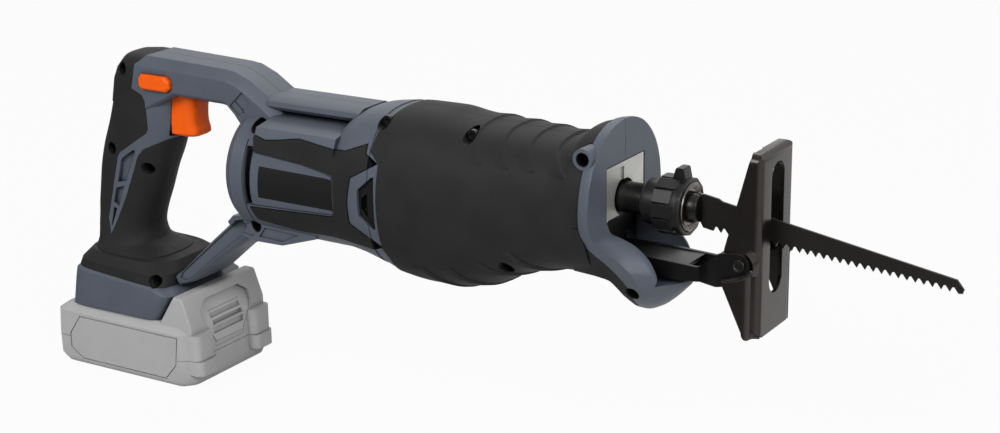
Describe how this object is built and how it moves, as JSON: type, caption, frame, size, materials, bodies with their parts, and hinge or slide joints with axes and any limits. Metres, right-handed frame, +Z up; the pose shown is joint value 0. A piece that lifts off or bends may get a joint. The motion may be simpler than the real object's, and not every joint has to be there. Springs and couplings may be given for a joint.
{
  "type": "reciprocating saw",
  "caption": "Cordless reciprocating saw with a looped rear handle, motor barrel, rubber front grip, keyless blade clamp, pivoting shoe and slide-on battery.",
  "frame": {"origin": "on the plunger's axis, where it leaves the front face of the metal nose plate", "axes": "+X along the stroke towards the blade tip, +Y to the left side of the tool, +Z up; Y = 0 is the joint plane of the two housing halves"},
  "size_m": [0.551, 0.0804, 0.1921],
  "materials": {
    "housing": "fine satin, blue-grey",
    "rubber": "matt, finely textured",
    "black_plastic": "satin",
    "die_cast": "cast, fine grain",
    "bronze": "sintered",
    "seal": "matt",
    "dark_steel": "black oxide, satin",
    "steel": "ground",
    "blade_steel": "dark coated, satin",
    "gear_steel": "hardened",
    "can_steel": "zinc plated",
    "magnet": "ferrite, matt",
    "lamination": "stacked sheet",
    "carbon": "carbon, matt",
    "bracket_steel": "black coated, semi-gloss",
    "shoe_steel": "black nickel, glossy",
    "orange": "satin",
    "battery_grey": "satin, light grey",
    "cell_wrap": "shrink film",
    "contact_brass": "plain",
    "latch_grey": "satin, light grey"
  },
  "bodies": {
    "body": {"housing_right": "housing", "housing_left": "housing", "front_sleeve_right": "rubber", "front_sleeve_left": "rubber", "handle_grip_right": "rubber", "handle_grip_left": "rubber", "side_cover_right": "rubber", "side_cover_left": "rubber", "label_plate": "black_plastic", "vent_insert_right": "black_plastic", "vent_insert_left": "black_plastic", "gear_case_right": "die_cast", "gear_case_left": "die_cast", "front_bush": "bronze", "rear_bush": "bronze", "shaft_seal": "seal", "crank_bearing": "steel", "motor_can": "can_steel", "motor_magnets": "magnet", "motor_end_cap": "black_plastic", "rear_bearing": "steel", "front_bearing": "steel", "carbon_brushes": "carbon", "shoe_bracket": "bracket_steel", "shoe_pin": "dark_steel", "bracket_screws": "steel", "trigger_spring": "steel", "switch_module": "black_plastic", "terminal_block": "black_plastic", "housing_screws": "dark_steel"},
    "plunger_unit": {"plunger": "dark_steel", "blade": "blade_steel", "clamp_pin": "steel", "clamp_ring": "steel", "clamp_spring": "steel"},
    "collar": {"clamp_collar": "black_plastic"},
    "crank": {"crank_gear": "gear_steel", "crank_roller": "steel", "crank_axle": "steel"},
    "rotor": {"armature": "lamination", "motor_pinion": "gear_steel", "cooling_fan": "black_plastic"},
    "shoe_unit": {"shoe": "shoe_steel"},
    "trigger_unit": {"trigger": "orange"},
    "lock_off": {"lock_off_bar": "orange"},
    "battery": {"battery_upper": "battery_grey", "battery_lower": "battery_grey", "battery_cells": "cell_wrap", "battery_contacts": "contact_brass", "latch_spring": "steel"},
    "latch": {"battery_latch": "latch_grey"}
  },
  "joints": [
    {"name": "plunger_slide", "type": "slide", "parent": "body", "child": "plunger_unit", "axis": [1, 0, 0], "range_m": [-0.01, 0.01]},
    {"name": "clamp_twist", "type": "hinge", "parent": "plunger_unit", "child": "collar", "pos_m": [0.025, 0, 0], "axis": [1, 0, 0], "range_deg": [0, 75], "stiffness_Nm_per_rad": 0.06, "springref_deg": -17.19},
    {"name": "crank_turn", "type": "hinge", "parent": "body", "child": "crank", "pos_m": [-0.066, 0, -0.022], "axis": [0, 0, 1], "continuous": true},
    {"name": "rotor_spin", "type": "hinge", "parent": "body", "child": "rotor", "pos_m": [-0.15, 0, -0.015], "axis": [1, 0, 0], "continuous": true},
    {"name": "shoe_pivot", "type": "hinge", "parent": "body", "child": "shoe_unit", "pos_m": [0.074, 0, -0.0188], "axis": [0, 1, 0], "range_deg": [-15, 15]},
    {"name": "trigger_press", "type": "slide", "parent": "body", "child": "trigger_unit", "axis": [-1, 0, 0], "range_m": [0, 0.006], "stiffness_N_per_m": 900, "springref_m": -0.004},
    {"name": "lock_off_slide", "type": "slide", "parent": "body", "child": "lock_off", "axis": [0, 1, 0], "range_m": [-0.0025, 0.0025], "stiffness_N_per_m": 600},
    {"name": "battery_slide", "type": "slide", "parent": "body", "child": "battery", "axis": [1, 0, 0], "range_m": [0, 0.06]},
    {"name": "latch_press", "type": "slide", "parent": "battery", "child": "latch", "axis": [-1, 0, 0], "range_m": [0, 0.003], "stiffness_N_per_m": 900, "springref_m": -0.003}
  ],
  "couplings": [
    {"joint": "rotor_spin", "follows": "crank_turn", "ratio": 6}
  ]
}
